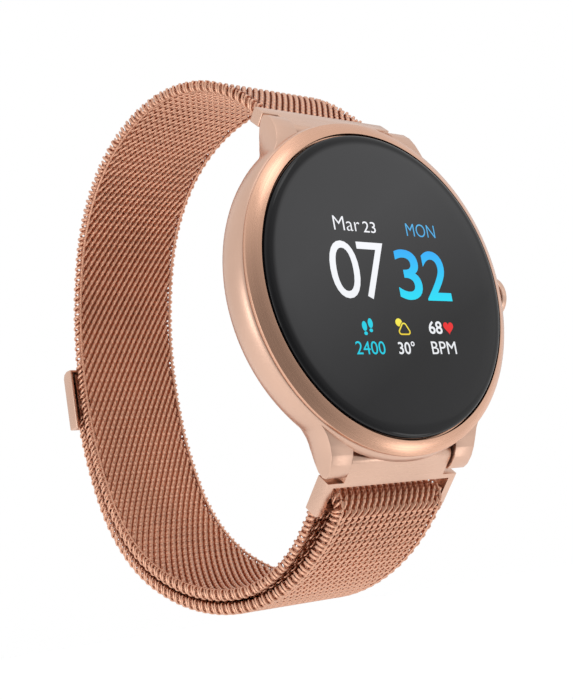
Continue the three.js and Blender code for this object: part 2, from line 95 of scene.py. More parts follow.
class ShaderSheet:
    """A material with one Principled shader and the few pattern nodes that the finishes share."""

    def __init__(self, name: str) -> None:
        """Starts an empty material called name."""
        self.material = bpy.data.materials.new(name)
        self.material.use_nodes = True
        self.tree = self.material.node_tree
        self.surface = self.tree.nodes["Principled BSDF"]
        self.place = self.tree.nodes.new("ShaderNodeTexCoord").outputs["Object"]

    def fixed(self, **values: float | tuple) -> "ShaderSheet":
        """Sets constants on the shader's own sockets.

        Args:
            values: socket names with underscores for spaces, and their values.

        Returns:
            The same sheet, for chaining.
        """
        for name, value in values.items():
            self.surface.inputs[name.replace("_", " ")].default_value = value
        return self

    def stretched(self, per_mm: Sequence[float]) -> bpy.types.NodeSocket:
        """Returns Object coordinates scaled to repeats per millimetre along each axis."""
        mapping = self.tree.nodes.new("ShaderNodeMapping")
        mapping.inputs["Scale"].default_value = tuple(value / MM for value in per_mm)
        self.tree.links.new(self.place, mapping.inputs["Vector"])
        return mapping.outputs["Vector"]

    def round_axis(self, per_mm: Sequence[float]) -> bpy.types.NodeSocket:
        """Returns coordinates that only change across the circles of a piece turned about Y."""
        split = self.tree.nodes.new("ShaderNodeSeparateXYZ")
        radius = self.tree.nodes.new("ShaderNodeMath")
        radius.operation = "POWER"
        radius.inputs[1].default_value = 0.5
        total = self.tree.nodes.new("ShaderNodeMath")
        total.operation = "ADD"
        self.tree.links.new(self.stretched(per_mm), split.inputs[0])
        for index, axis in enumerate(("X", "Z")):
            square = self.tree.nodes.new("ShaderNodeMath")
            square.operation = "POWER"
            square.inputs[1].default_value = 2.0
            self.tree.links.new(split.outputs[axis], square.inputs[0])
            self.tree.links.new(square.outputs[0], total.inputs[index])
        self.tree.links.new(total.outputs[0], radius.inputs[0])
        join = self.tree.nodes.new("ShaderNodeCombineXYZ")
        self.tree.links.new(radius.outputs[0], join.inputs["X"])
        self.tree.links.new(split.outputs["Y"], join.inputs["Y"])
        return join.outputs[0]

    def noise(self, vector: bpy.types.NodeSocket, detail: float) -> bpy.types.NodeSocket:
        """Returns a noise value read at vector."""
        node = self.tree.nodes.new("ShaderNodeTexNoise")
        node.inputs["Scale"].default_value = 1.0
        node.inputs["Detail"].default_value = detail
        self.tree.links.new(vector, node.inputs["Vector"])
        return node.outputs["Fac"]

    def ramp(self, value: bpy.types.NodeSocket,
             stops: Sequence[tuple[float, Colour]]) -> bpy.types.NodeSocket:
        """Returns the colour of a ramp through stops of (place, colour)."""
        node = self.tree.nodes.new("ShaderNodeValToRGB")
        elements = node.color_ramp.elements
        while len(elements) < len(stops):
            elements.new(1.0)
        for element, (place, colour) in zip(elements, stops):
            element.position = place
            element.color = (*colour, 1.0)
        self.tree.links.new(value, node.inputs["Fac"])
        return node.outputs["Color"]

    def spread(self, value: bpy.types.NodeSocket, low: float, high: float) -> bpy.types.NodeSocket:
        """Returns value moved from the middle of a noise's range to low..high."""
        node = self.tree.nodes.new("ShaderNodeMapRange")
        node.inputs["From Min"].default_value = 0.3
        node.inputs["From Max"].default_value = 0.7
        node.inputs["To Min"].default_value = low
        node.inputs["To Max"].default_value = high
        self.tree.links.new(value, node.inputs["Value"])
        return node.outputs["Result"]

    def feed(self, socket: bpy.types.NodeSocket, name: str) -> None:
        """Links a pattern into one of the shader's inputs."""
        self.tree.links.new(socket, self.surface.inputs[name])

    def bump(self, height: bpy.types.NodeSocket, depth_mm: float) -> None:
        """Adds a bump of the given depth to the surface."""
        node = self.tree.nodes.new("ShaderNodeBump")
        node.inputs["Strength"].default_value = 0.5
        node.inputs["Distance"].default_value = depth_mm * MM
        self.tree.links.new(height, node.inputs["Height"])
        self.tree.links.new(node.outputs["Normal"], self.surface.inputs["Normal"])


@dataclass(frozen=True)
class MetalFinish:
    """A bare or plated metal with a brushed or blasted grain."""

    name: str
    colour: Colour
    roughness: float
    grain: Grain = Grain.BLASTED
    grain_depth: float = 0.002
    patches_per_mm: float = 0.12
    tint: float = 0.93

    def build(self) -> bpy.types.Material:
        """Returns the material."""
        sheet = ShaderSheet(self.name).fixed(Metallic=1.0)
        broad = sheet.noise(sheet.stretched((self.patches_per_mm,) * 3), 2.0)
        dark = tuple(channel * self.tint for channel in self.colour)
        sheet.feed(sheet.ramp(broad, [(0.35, dark), (0.65, self.colour)]), "Base Color")
        across_grain = sheet.round_axis if self.grain is Grain.AROUND else sheet.stretched
        fine = sheet.noise(across_grain(self.grain.value), 4.0)
        sheet.feed(sheet.spread(fine, self.roughness * 0.82, self.roughness * 1.18), "Roughness")
        sheet.bump(fine, self.grain_depth)
        return sheet.material


@dataclass(frozen=True)
class PlainFinish:
    """A moulded, coated or printed non-metal with a fine texture."""

    name: str
    colour: Colour
    roughness: float
    second: Colour | None = None
    texture_per_mm: float = 4.0
    depth: float = 0.004
    coat: float = 0.0

    def build(self) -> bpy.types.Material:
        """Returns the material."""
        sheet = ShaderSheet(self.name).fixed(Coat_Weight=self.coat)
        other = self.second or tuple(channel * 0.8 for channel in self.colour)
        fine = sheet.noise(sheet.stretched((self.texture_per_mm,) * 3), 4.0)
        sheet.feed(sheet.ramp(fine, [(0.35, other), (0.65, self.colour)]), "Base Color")
        sheet.feed(sheet.spread(fine, self.roughness * 0.8, min(1.0, self.roughness * 1.2)), "Roughness")
        sheet.bump(fine, self.depth)
        return sheet.material


@dataclass(frozen=True)
class DarkGlassFinish:
    """Black-backed polished glass over a dark-grey screen with a painted sheen, brighter toward one side."""

    name: str
    colour: Colour = (0.006, 0.006, 0.007)
    # the brightest colour of the painted sheen, and where and over what distance it brightens
    painted_sheen: Colour = (0.034, 0.034, 0.035)
    haze_per_mm: float = 0.09
    sheen_toward: Place = (-0.45, 0.0, 0.80)
    sheen_mm: Point = (-9.0, 8.0)
    screen_edge_mm: Point = (18.9, 19.5)

    def build(self) -> bpy.types.Material:
        """Returns the material."""
        sheet = ShaderSheet(self.name).fixed(Specular_IOR_Level=0.27, IOR=1.5, Emission_Strength=1.0)
        haze = sheet.noise(sheet.stretched((self.haze_per_mm,) * 3), 3.0)
        lighter = tuple(channel * 1.5 for channel in self.colour)
        sheet.feed(sheet.ramp(haze, [(0.3, self.colour), (0.7, lighter)]), "Base Color")
        sheet.feed(sheet.spread(haze, 0.05, 0.1), "Roughness")
        # painted sheen: an emission glow inside the screen's edge that brightens the glass toward the upper
        # left
        sheen_fade = self.across_screen(sheet, "DOT_PRODUCT", self.sheen_toward, self.sheen_mm)
        inside = self.across_screen(sheet, "LENGTH", (1.0, 0.0, 1.0), self.screen_edge_mm[::-1])
        # how strong the painted sheen is at each point of the glass
        lit = sheet.tree.nodes.new("ShaderNodeMath")
        lit.operation = "MULTIPLY"
        sheet.tree.links.new(sheen_fade, lit.inputs[0])
        sheet.tree.links.new(inside, lit.inputs[1])
        sheet.feed(sheet.ramp(lit.outputs[0], [(0.0, (0.0, 0.0, 0.0)), (1.0, self.painted_sheen)]), "Emission Color")
        return sheet.material

    @staticmethod
    def across_screen(sheet: ShaderSheet, measure: str, weights: Place,
                      limits_mm: Point) -> bpy.types.NodeSocket:
        """Returns a 0 to 1 value from a distance across the screen.

        Args:
            sheet: the material being built.
            measure: DOT_PRODUCT for the distance along weights, LENGTH for the distance from the middle.
            weights: the direction to measure along, or the axes to measure in.
            limits_mm: the distances that give 0 and 1.

        Returns:
            The clamped value.
        """
        nodes, links = sheet.tree.nodes, sheet.tree.links
        flat = nodes.new("ShaderNodeVectorMath")
        flat.operation = "MULTIPLY"
        flat.inputs[1].default_value = weights if measure == "LENGTH" else (1.0, 1.0, 1.0)
        links.new(sheet.place, flat.inputs[0])
        distance = nodes.new("ShaderNodeVectorMath")
        distance.operation = measure
        distance.inputs[1].default_value = weights
        links.new(flat.outputs["Vector"], distance.inputs[0])
        value = nodes.new("ShaderNodeMapRange")
        value.inputs["From Min"].default_value = limits_mm[0] * MM
        value.inputs["From Max"].default_value = limits_mm[1] * MM
        links.new(distance.outputs["Value"], value.inputs["Value"])
        return value.outputs["Result"]


@dataclass(frozen=True)
class LitFinish:
    """A lit readout, shaded from one colour at its foot to another at its head."""

    name: str
    low: Colour
    high: Colour
    low_z: float = -10.0
    high_z: float = 8.0

    def build(self) -> bpy.types.Material:
        """Returns the material."""
        sheet = ShaderSheet(self.name).fixed(Base_Color=(0.0, 0.0, 0.0, 1.0), Roughness=0.4,
                                             Emission_Strength=1.0, Specular_IOR_Level=0.1)
        split = sheet.tree.nodes.new("ShaderNodeSeparateXYZ")
        sheet.tree.links.new(sheet.place, split.inputs[0])
        height = sheet.tree.nodes.new("ShaderNodeMapRange")
        height.inputs["From Min"].default_value = self.low_z * MM
        height.inputs["From Max"].default_value = self.high_z * MM
        sheet.tree.links.new(split.outputs["Z"], height.inputs["Value"])
        colour = sheet.ramp(height.outputs["Result"], [(0.0, self.low), (1.0, self.high)])
        sheet.feed(colour, "Emission Color")
        return sheet.material


ROSE = (0.74, 0.485, 0.37)
FINISHES = {
    "rose_gold_satin": MetalFinish("rose_gold_satin", ROSE, 0.3, Grain.ALONG_X),
    "rose_gold_turned": MetalFinish("rose_gold_turned", (0.77, 0.45, 0.315), 0.26, Grain.AROUND, 0.0003),
    "rose_gold_blasted": MetalFinish("rose_gold_blasted", ROSE, 0.34, Grain.BLASTED),
    "mesh_wire": MetalFinish("mesh_wire", (0.78, 0.43, 0.295), 0.33, Grain.BLASTED),
    "cover_glass": DarkGlassFinish("cover_glass"),
    "black_plastic": PlainFinish("black_plastic", (0.022, 0.022, 0.024), 0.5),
    "steel": MetalFinish("steel", (0.62, 0.62, 0.63), 0.3, Grain.ALONG_X),
    "spring_steel": MetalFinish("spring_steel", (0.50, 0.51, 0.53), 0.34, Grain.BLASTED),
    "rubber": PlainFinish("rubber", (0.018, 0.018, 0.019), 0.85),
    "circuit_board": PlainFinish("circuit_board", (0.01, 0.11, 0.05), 0.42, (0.008, 0.07, 0.035), 1.2, 0.01,
                                 0.3),
    "foil": MetalFinish("foil", (0.66, 0.67, 0.68), 0.38, Grain.ALONG_Z, 0.006),
    "gold": MetalFinish("gold", (0.90, 0.66, 0.26), 0.24, Grain.AROUND),
    "amber_film": PlainFinish("amber_film", (0.46, 0.17, 0.03), 0.38, (0.38, 0.12, 0.02), 1.5, 0.006, 0.4),
    "magnet": MetalFinish("magnet", (0.45, 0.46, 0.48), 0.3, Grain.ALONG_X),
    "cool_digits": LitFinish("cool_digits", (0.026, 0.75, 0.93), (0.045, 0.44, 0.97), -2.5, 4.5),
    "white_digits": LitFinish("white_digits", (0.85, 0.87, 0.9), (0.95, 0.96, 1.0)),
    "blue_text": LitFinish("blue_text", (0.09, 0.42, 0.80), (0.12, 0.50, 0.85), 6.0, 9.0),
    "cyan_text": LitFinish("cyan_text", (0.02, 0.62, 0.78), (0.04, 0.72, 0.85)),
    "yellow_icon": LitFinish("yellow_icon", (0.88, 0.66, 0.05), (0.95, 0.85, 0.10), -7.0, -5.0),
    "red_icon": LitFinish("red_icon", (0.80, 0.03, 0.03), (0.92, 0.06, 0.06)),
}


class Wardrobe:
    """Builds each finish once and hands it out by name."""

    def __init__(self) -> None:
        """Starts with nothing built."""
        self.built: dict[str, bpy.types.Material] = {}

    def get(self, name: str) -> bpy.types.Material:
        """Returns the material called name."""
        if name not in self.built:
            self.built[name] = FINISHES[name].build()
        return self.built[name]


WARDROBE = Wardrobe()


# ---------------------------------------------------------------- making and placing pieces
def as_mesh(shape: bmesh.types.BMesh, name: str) -> bpy.types.Mesh:
    """Returns a bmesh as a mesh and frees it."""
    mesh = bpy.data.meshes.new(name)
    shape.to_mesh(mesh)
    shape.free()
    return mesh


def linked(name: str, data: bpy.types.ID) -> bpy.types.Object:
    """Returns a new object that carries data, linked to the scene."""
    holder = bpy.data.objects.new(name, data)
    bpy.context.scene.collection.objects.link(holder)
    return holder


def finish_piece(name: str, shape: bmesh.types.BMesh | bpy.types.Mesh, look: str,
                 smooth: float = 35.0) -> bpy.types.Object:
    """Turns a finished shape in millimetres into an object at the origin.

    Args:
        name: the object's name.
        shape: a bmesh, which is freed, or a mesh.
        look: the finish's name.
        smooth: edges flatter than this many degrees are shaded smooth.

    Returns:
        The linked object.
    """
    mesh = as_mesh(shape, name) if isinstance(shape, bmesh.types.BMesh) else shape
    mesh.transform(Matrix.Scale(MM, 4))
    mesh.shade_smooth()
    mesh.set_sharp_from_angle(angle=math.radians(smooth))
    mesh.materials.clear()
    mesh.materials.append(WARDROBE.get(look))
    LOG.info("%s: %d faces", name, len(mesh.polygons))
    return linked(name, mesh)


def settle(piece: bpy.types.Object, body: str, nodes: Sequence[str] = ()) -> None:
    """Rides a piece on a body and the CAD nodes it stands for.

    Args:
        piece: the finished object.
        body: the CAD body that it moves with.
        nodes: the CAD nodes that it replaces.
    """
    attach(piece, body)
    if nodes:
        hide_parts(*nodes)


def soften(shape: bmesh.types.BMesh, width: float, angle: float = 28.0, segments: int = 3,
           only: Callable[[bmesh.types.BMEdge], bool] | None = None) -> None:
    """Rounds every edge that is sharper than an angle.

    Args:
        shape: the closed shape to work on.
        width: the width of the rounding.
        angle: the least angle between the two faces, in degrees.
        segments: how many steps the rounding has.
        only: a further test that an edge must pass.
    """
    sharp = [edge for edge in shape.edges
             if len(edge.link_faces) == 2 and edge.calc_face_angle(0.0) > math.radians(angle)
             and (only is None or only(edge))]
    bmesh.ops.bevel(shape, geom=sharp, offset=width, offset_type="OFFSET", segments=segments, profile=0.5,
                    affect="EDGES", clamp_overlap=True, material=-1)


def turned(profile: Sequence[Point], steps: int = 144, along: str = "Y", centre: Point = (0.0, 0.0),
           closed: bool = True) -> bmesh.types.BMesh:
    """Spins a profile into a solid.

    Args:
        profile: (radius, place along the axis) points.
        steps: how many steps the full turn has.
        along: the axis, Y or X.
        centre: where the axis passes, in the plane across it.
        closed: whether the last point joins back to the first; a profile that ends on the axis doesn't.

    Returns:
        The closed shape.
    """
    shape = bmesh.new()
    place = (lambda r, a: (r + centre[0], a, centre[1])) if along == "Y" else (
        lambda r, a: (a, r + centre[0], centre[1]))
    points = [shape.verts.new(place(radius, axial)) for radius, axial in profile]
    pairs = list(zip(points, points[1:])) + ([(points[-1], points[0])] if closed else [])
    edges = [shape.edges.new(pair) for pair in pairs]
    axis = (0.0, 1.0, 0.0) if along == "Y" else (1.0, 0.0, 0.0)
    bmesh.ops.spin(shape, geom=points + edges, cent=place(0.0, 0.0), axis=axis, dvec=(0.0, 0.0, 0.0),
                   angle=math.tau, steps=steps, use_merge=True, use_duplicate=False)
    bmesh.ops.remove_doubles(shape, verts=shape.verts[:], dist=1e-4)
    bmesh.ops.recalc_face_normals(shape, faces=shape.faces[:])
    return shape


def slab(outline: Sequence[Place], travel: Place) -> bmesh.types.BMesh:
    """Pushes a flat outline along a direction.

    Args:
        outline: the corners of the starting face.
        travel: how far and which way it is pushed.

    Returns:
        The closed prism.
    """
    shape = bmesh.new()
    face = shape.faces.new([shape.verts.new(corner) for corner in outline])
    pushed = bmesh.ops.extrude_face_region(shape, geom=[face])["geom"]
    corners = [item for item in pushed if isinstance(item, bmesh.types.BMVert)]
    bmesh.ops.translate(shape, vec=travel, verts=corners)
    bmesh.ops.recalc_face_normals(shape, faces=shape.faces[:])
    return shape


def block(low: Sequence[float], high: Sequence[float]) -> bmesh.types.BMesh:
    """Returns a plain box between two corners, for cutting with."""
    shape = bmesh.new()
    bmesh.ops.create_cube(shape, size=1.0)
    bmesh.ops.scale(shape, vec=[b - a for a, b in zip(low, high)], verts=shape.verts[:])
    bmesh.ops.translate(shape, vec=[(a + b) / 2 for a, b in zip(low, high)], verts=shape.verts[:])
    return shape


def mirrored(shape: bmesh.types.BMesh, factors: Sequence[float]) -> bmesh.types.BMesh:
    """Returns a copy of a shape scaled by -1 along some axes, with its faces still outwards."""
    copy = shape.copy()
    bmesh.ops.scale(copy, vec=factors, verts=copy.verts[:])
    bmesh.ops.recalc_face_normals(copy, faces=copy.faces[:])
    return copy


def combined(base: bmesh.types.BMesh, others: Iterable[bmesh.types.BMesh], how: str) -> bmesh.types.BMesh:
    """Joins shapes to a base or cuts them from it.

    Args:
        base: the shape to start from, which is freed.
        others: the shapes to join or cut, which are freed.
        how: UNION or DIFFERENCE.

    Returns:
        The resulting shape.
    """
    target = linked("stock", as_mesh(base, "stock"))
    tools = [linked("tool", as_mesh(other, "tool")) for other in others]
    for tool in tools:
        step = target.modifiers.new("step", "BOOLEAN")
        step.operation, step.solver, step.object = how, "EXACT", tool
    depsgraph = bpy.context.evaluated_depsgraph_get()
    result = bmesh.new()
    result.from_mesh(target.evaluated_get(depsgraph).to_mesh())
    for stock in [target, *tools]:
        mesh = stock.data
        bpy.data.objects.remove(stock)
        bpy.data.meshes.remove(mesh)
    return result


def copy_of(frame: dict, node: str) -> bmesh.types.BMesh:
    """Returns a CAD node as one clean shape in millimetres, its flat faces made whole."""
    flat = math.radians(0.6)
    shape = bmesh.new()
    shape.from_mesh(frame["nodes"][node].data)
    bmesh.ops.scale(shape, vec=(1 / MM,) * 3, verts=shape.verts[:])
    bmesh.ops.remove_doubles(shape, verts=shape.verts[:], dist=0.002)
    bmesh.ops.dissolve_limit(shape, angle_limit=flat, verts=shape.verts[:], edges=shape.edges[:])
    return shape


# ---------------------------------------------------------------- watch head
@dataclass
class WatchCase:
    """The case with its four lugs, the bezel and the glass.

    The turned profiles are (radius, y) points and button_bore is (radius, x). The lug is a blank with the
    outline lug_side in (y, z). It is cut across at lug_cuts_y and lug_cuts_z so that its outer side can be
    drawn out to lug_plan, in (z, x). Edges above lug_hidden_z end up inside the case and stay sharp.
    """

    back_curve: tuple[Point, ...] = (
        (22.5, -9.55), (22.7, -9.2), (22.83, -8.8), (22.94, -8.1), (22.96, -7.5), (22.92, -6.9),
        (22.78, -6.2), (22.54, -5.55), (22.18, -4.9), (21.74, -4.3), (21.18, -3.7), (20.6, -3.2),
        (20.0, -2.75), (19.4, -2.35), (18.55, -1.6))
    bore: tuple[Point, ...] = (
        (18.2, -1.6), (18.2, -2.2), (17.4, -2.2), (17.4, -3.2), (18.8, -3.2), (18.8, -9.0), (21.7, -9.0),
        (21.7, -9.55))
    bezel: tuple[Point, ...] = (
        (20.7, -11.0), (22.5, -10.02), (22.5, -9.6), (21.8, -9.6), (21.8, -9.85), (21.4, -9.85),
        (21.4, -9.3), (19.4, -9.3), (19.4, -10.25), (20.7, -10.25))
    glass: tuple[Point, ...] = (
        (0.0, -11.55), (12.0, -11.545), (17.0, -11.53), (19.2, -11.5), (19.75, -11.44), (20.1, -11.34),
        (20.3, -11.2), (20.4, -11.0), (20.4, -10.55), (0.0, -10.55))
    cavity: tuple[Point, ...] = (
        (0.0, -11.0), (18.8, -11.0), (18.8, -3.2), (17.4, -3.2), (17.4, -1.0), (0.0, -1.0))
    button_bore: tuple[Point, ...] = (
        (0.0, 17.0), (1.2, 17.0), (1.2, 21.0), (3.45, 21.0), (3.45, 24.0), (0.0, 24.0))
    strap_pocket_y: Point = (-8.3, 2.0)
    strap_pocket_z: Point = (19.9, 26.0)
    bar_axis: Point = (-6.41, 21.71)
    bar_hole_radius: float = 0.6
    bar_hole_reach: Point = (-1.0, 2.0)
    lug_inner: float = 9.2
    lug_blank: float = 3.0
    lug_side: tuple[Point, ...] = (
        (-9.25, -15.5), (-9.2, -17.2), (-9.1, -18.6), (-8.85, -20.2), (-8.45, -21.6), (-7.8, -22.8),
        (-6.95, -23.65), (-6.2, -24.0), (-5.5, -23.7), (-4.9, -22.9), (-4.5, -21.6), (-4.15, -19.8),
        (-3.3, -17.6), (-2.9, -15.5))
    lug_plan: tuple[Point, ...] = (
        (-24.2, 12.4), (-23.0, 12.5), (-21.5, 12.75), (-20.3, 13.05), (-19.2, 13.45), (-18.15, 14.1),
        (-17.2, 14.95), (-16.3, 15.8), (-15.5, 16.5))
    lug_cuts_y: tuple[float, ...] = (-8.6, -8.0, -7.2, -6.4, -5.6, -4.9, -4.3, -3.7)
    lug_cuts_z: tuple[float, ...] = (-16.2, -16.9, -17.6, -18.4, -19.2, -20.3, -21.5, -22.6, -23.3)
    lug_tip_z: float = -24.0
    lug_root_length: float = 7.0
    lug_tip_follow: float = 0.35
    lug_hidden_z: float = -15.7

    def side_radius(self, y: float) -> float:
        """Returns the case's outer radius at a depth y."""
        for (r0, y0), (r1, y1) in zip(self.back_curve, self.back_curve[1:]):
            if y <= y1:
                return r0 + (r1 - r0) * max(0.0, (y - y0) / (y1 - y0))
        return self.back_curve[-1][0]

    def lug_reach(self, y: float, z: float) -> float:
        """Returns how far out a lug's side is, so that it runs out of the case's side without a step."""
        reach = self.lug_plan[-1][1]
        for (z0, x0), (z1, x1) in zip(self.lug_plan, self.lug_plan[1:]):
            if z <= z1:
                reach = x0 + (x1 - x0) * max(0.0, (z - z0) / (z1 - z0))
                break
        widest = max(radius for radius, _ in self.back_curve)
        root = min(1.0, max(0.0, (z - self.lug_tip_z) / self.lug_root_length))
        return reach - (widest - self.side_radius(y)) * (self.lug_tip_follow + root * root)

    def lug(self) -> bmesh.types.BMesh:
        """Returns the lower right lug."""
        shape = slab([(self.lug_inner, y, z) for y, z in self.lug_side], (self.lug_blank, 0.0, 0.0))
        cuts = [((0.0, y, 0.0), (0.0, 1.0, 0.0)) for y in self.lug_cuts_y]
        cuts += [((0.0, 0.0, z), (0.0, 0.0, 1.0)) for z in self.lug_cuts_z]
        for place, normal in cuts:
            bmesh.ops.bisect_plane(shape, geom=shape.verts[:] + shape.edges[:] + shape.faces[:], dist=1e-4,
                                   plane_co=place, plane_no=normal)
        for corner in shape.verts:
            if corner.co.x > self.lug_inner + 0.1:
                corner.co.x = self.lug_reach(corner.co.y, corner.co.z)
        bmesh.ops.recalc_face_normals(shape, faces=shape.faces[:])
        soften(shape, 0.16, 40.0, 3,
               lambda edge: max(corner.co.z for corner in edge.verts) < self.lug_hidden_z)
        return shape

    def body(self) -> bmesh.types.BMesh:
        """Returns the case with its lugs, strap pockets and drillings."""
        shell = turned(self.back_curve + self.bore, 144)
        soften(shell, 0.12, 40.0, 2)
        lug = self.lug()
        lugs = [mirrored(lug, signs) for signs in ((1, 1, 1), (-1, 1, 1), (1, 1, -1), (-1, 1, -1))]
        lug.free()
        shape = combined(shell, lugs, "UNION")
        drillings = [turned(self.cavity, 144, closed=False)]
        for sign in (1.0, -1.0):
            low, high = sorted(sign * z for z in self.strap_pocket_z)
            drillings.append(block((-self.lug_inner, self.strap_pocket_y[0], low),
                                   (self.lug_inner, self.strap_pocket_y[1], high)))
            for side in (1.0, -1.0):
                near, far = sorted(side * (self.lug_inner + reach) for reach in self.bar_hole_reach)
                hole = [(0.0, near), (self.bar_hole_radius, near), (self.bar_hole_radius, far), (0.0, far)]
                drillings.append(turned(hole, 24, "X", (self.bar_axis[0], sign * self.bar_axis[1]), False))
        drillings.append(turned(self.button_bore, 48, "X", (BUTTON_AXIS_Y, 0.0), False))
        return combined(shape, drillings, "DIFFERENCE")

    def dress(self) -> None:
        """Builds and places the visible metal and glass of the head."""
        shell = finish_piece("case_shell", self.body(), "rose_gold_blasted", 32.0)
        settle(shell, "case", ["case_body"])
        ring = turned(self.bezel, 180)
        soften(ring, 0.045, 28.0, 2)
        settle(finish_piece("bezel", ring, "rose_gold_turned"), "case", ["bezel_ring"])
        dome = finish_piece("domed_glass", turned(self.glass, 144, closed=False), "cover_glass", 50.0)
        settle(dome, "case", ["cover_glass"])


@dataclass
class PushButton:
    """The push button's cap at 3 o'clock."""

    head_x: float = 23.6
    profile: tuple[Point, ...] = (
        (0.0, 16.6), (0.9, 16.6), (0.9, 18.1), (0.6, 18.1), (0.6, 18.5), (0.9, 18.5), (0.9, 19.2),
        (0.6, 19.2), (0.6, 20.2), (0.9, 20.2), (0.9, 23.7), (3.2, 23.7), (3.2, 24.75), (2.6, 25.0),
        (0.0, 25.0))

    def dress(self) -> None:
        """Builds and places the cap."""
        cap = turned(self.profile, 64, "X", (BUTTON_AXIS_Y, 0.0), False)
        soften(cap, 0.2, 20.0, 4, lambda edge: min(corner.co.x for corner in edge.verts) > self.head_x)
        piece = finish_piece("push_button", cap, "rose_gold_satin")
        settle(piece, "button", ["button_cap"])


# ---------------------------------------------------------------- display readouts
@dataclass(frozen=True)
class Readout:
    """One word or number on the display, with the box that it fills."""

    text: str
    centre: Point
    size: Point
    look: str
    weight: float = 0.0


@dataclass
class DialReadouts:
    """The lit face: time, day, date and three plain activity readings."""

    level: float = -11.56
    relief: float = 0.012
    words: tuple[Readout, ...] = (
        Readout("Mar", (-6.3, 7.6), (4.5, 1.9), "white_digits", -0.01),
        Readout("23", (-2.4, 7.35), (2.2, 1.5), "white_digits"),
        Readout("MON", (7.0, 7.45), (5.4, 1.8), "blue_text", -0.01),
        Readout("0", (-7.95, 1.45), (4.9, 7.6), "white_digits", -0.004),
        Readout("7", (-2.95, 1.45), (4.7, 7.6), "white_digits", -0.004),
        Readout("3", (3.2, 1.15), (4.4, 6.9), "cool_digits", 0.012),
        Readout("2", (8.3, 1.15), (4.6, 6.9), "cool_digits", 0.012),
        Readout("68", (6.3, -6.0), (2.5, 1.75), "white_digits", 0.015),
        Readout("2400", (-6.0, -8.75), (5.0, 1.7), "cyan_text"),
        Readout("30°", (0.35, -8.75), (3.0, 1.7), "white_digits", 0.01),
        Readout("BPM", (7.2, -8.75), (4.6, 1.7), "white_digits"),
    )

    def lay_flat(self, shape: bpy.types.Mesh, centre: Point, size: Point) -> bpy.types.Mesh:
        """Stretches a flat shape to a box on the dial.

        Args:
            shape: a mesh in the XY plane.
            centre: the middle of the box, across and up the dial.
            size: the box's width and height.

        Returns:
            The same mesh, standing on the dial.
        """
        xs = [corner.co.x for corner in shape.vertices]
        ys = [corner.co.y for corner in shape.vertices]
        zs = [corner.co.z for corner in shape.vertices]
        shape.transform(Matrix.Translation((-(min(xs) + max(xs)) / 2, -(min(ys) + max(ys)) / 2, -min(zs))))
        shape.transform(Matrix.Diagonal((size[0] / (max(xs) - min(xs)), size[1] / (max(ys) - min(ys)),
                                         self.relief / (max(zs) - min(zs)), 1.0)))
        upright = Matrix(((1, 0, 0, centre[0]), (0, 0, -1, self.level), (0, 1, 0, centre[1]), (0, 0, 0, 1)))
        shape.transform(upright)
        return shape

    def written(self, readout: Readout) -> bpy.types.Mesh:
        """Returns a word as a thin flat mesh on the dial."""
        curve = bpy.data.curves.new(readout.text, "FONT")
        curve.body = readout.text
        curve.size = 1.0
        curve.offset = readout.weight
        curve.extrude = 0.01
        curve.resolution_u = 6
        carrier = linked(readout.text, curve)
        depsgraph = bpy.context.evaluated_depsgraph_get()
        mesh = bpy.data.meshes.new_from_object(carrier.evaluated_get(depsgraph))
        bpy.data.objects.remove(carrier)
        return self.lay_flat(mesh, readout.centre, readout.size)

    def heart(self) -> bmesh.types.BMesh:
        """Returns a heart as a flat plate."""
        steps = 28
        outline = []
        for t in (math.tau * step / steps for step in range(steps)):
            height = 13 * math.cos(t) - 5 * math.cos(2 * t) - 2 * math.cos(3 * t) - math.cos(4 * t)
            outline.append((16 * math.sin(t) ** 3, height, 0.0))
        return slab(outline, (0.0, 0.0, 0.1))

    def footprints(self) -> bmesh.types.BMesh:
        """Returns two soles, each a ball and a heel."""
        ball, heel = (0.42, 0.75, 1.0, 1.0), (0.3, 0.28, 1.0, 1.0)
        shape = bmesh.new()
        for x, y, oval in ((-0.55, 0.0, ball), (-0.5, -1.1, heel), (0.55, 0.45, ball), (0.5, -0.65, heel)):
            bmesh.ops.create_cone(shape, cap_ends=True, segments=20, radius1=1.0, radius2=1.0, depth=0.1,
                                  matrix=Matrix.Translation((x, y, 0.05)) @ Matrix.Diagonal(oval))
        return shape

    def weather(self) -> bmesh.types.BMesh:
        """Returns a round sun half behind the outline of a cloud."""
        puffs = ((-0.3, -0.4, 0.32), (0.5, -0.4, 0.32), (0.15, 0.15, 0.36))
        line, gap = 0.14, 0.08
        sun_x, sun_y, sun_size = -0.42, 0.52, 0.4
        steps = 48
        headings = [math.tau * step / steps for step in range(steps)]

        def rim(shrink: float) -> list[Place]:
            """Returns the cloud's outline, drawn in by shrink."""
            points = []
            for t in headings:
                along, up = math.cos(t), math.sin(t)
                x, y, size = max(puffs, key=lambda puff: puff[0] * along + puff[1] * up + puff[2])
                points.append((x + (size - shrink) * along, y + (size - shrink) * up, 0.0))
            return points

        def less_cloud(outline: Sequence[Place], shrink: float) -> bmesh.types.BMesh:
            """Returns a plate with the cloud, drawn in by shrink, cut out of it."""
            cloud = slab([(x, y, -0.1) for x, y, _ in rim(shrink)], (0.0, 0.0, 0.3))
            return combined(slab(outline, (0.0, 0.0, 0.1)), [cloud], "DIFFERENCE")

        disc = [(sun_x + sun_size * math.cos(t), sun_y + sun_size * math.sin(t), 0.0) for t in headings]
        shape = less_cloud(disc, -gap)
        ring = as_mesh(less_cloud(rim(0.0), line), "cloud_line")
        shape.from_mesh(ring)
        bpy.data.meshes.remove(ring)
        return shape

